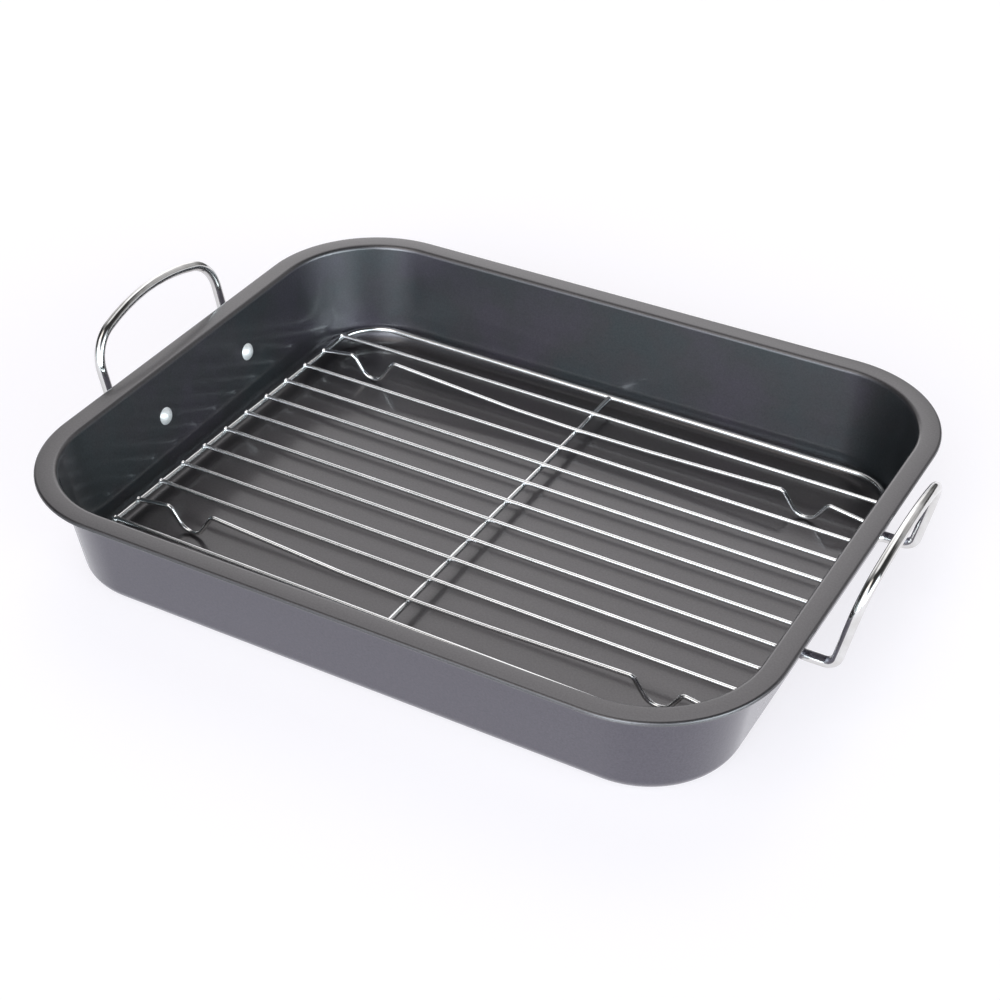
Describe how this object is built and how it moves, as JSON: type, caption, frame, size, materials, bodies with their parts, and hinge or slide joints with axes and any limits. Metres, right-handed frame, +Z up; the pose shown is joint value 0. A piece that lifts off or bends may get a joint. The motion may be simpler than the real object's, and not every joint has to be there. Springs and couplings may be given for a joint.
{
  "type": "roasting pan",
  "caption": "Deep rectangular roasting pan with rounded corners, a wide flat rim, riveted upright wire handles at both ends and a loose footed wire rack inside.",
  "frame": {"origin": "middle of the pan's outline, on the surface that it stands on", "axes": "+X along the pan towards its right handle, +Y across it towards its rear long side, +Z up"},
  "size_m": [0.475, 0.346, 0.0952],
  "materials": {
    "pan_coating": "smooth satin non-stick coating",
    "handle_chrome": "polished",
    "rivet_metal": "bright, smooth",
    "rack_chrome": "bright, slightly soft"
  },
  "bodies": {
    "pan": {"pan_body": "pan_coating", "handle_left": "handle_chrome", "handle_right": "handle_chrome", "rivet_left_front": "rivet_metal", "rivet_left_rear": "rivet_metal", "rivet_right_front": "rivet_metal", "rivet_right_rear": "rivet_metal"},
    "rack": {"rack_frame": "rack_chrome", "rack_cross_wire": "rack_chrome", "rack_foot_wire_front": "rack_chrome", "rack_foot_wire_rear": "rack_chrome", "rack_wire_1": "rack_chrome", "rack_wire_2": "rack_chrome", "rack_wire_3": "rack_chrome", "rack_wire_4": "rack_chrome", "rack_wire_5": "rack_chrome", "rack_wire_6": "rack_chrome", "rack_wire_7": "rack_chrome", "rack_wire_8": "rack_chrome", "rack_wire_9": "rack_chrome", "rack_wire_10": "rack_chrome"}
  },
  "joints": [
    {"name": "rack_lift", "type": "slide", "parent": "pan", "child": "rack", "axis": [0, 0, 1], "range_m": [0, 0.11]}
  ]
}
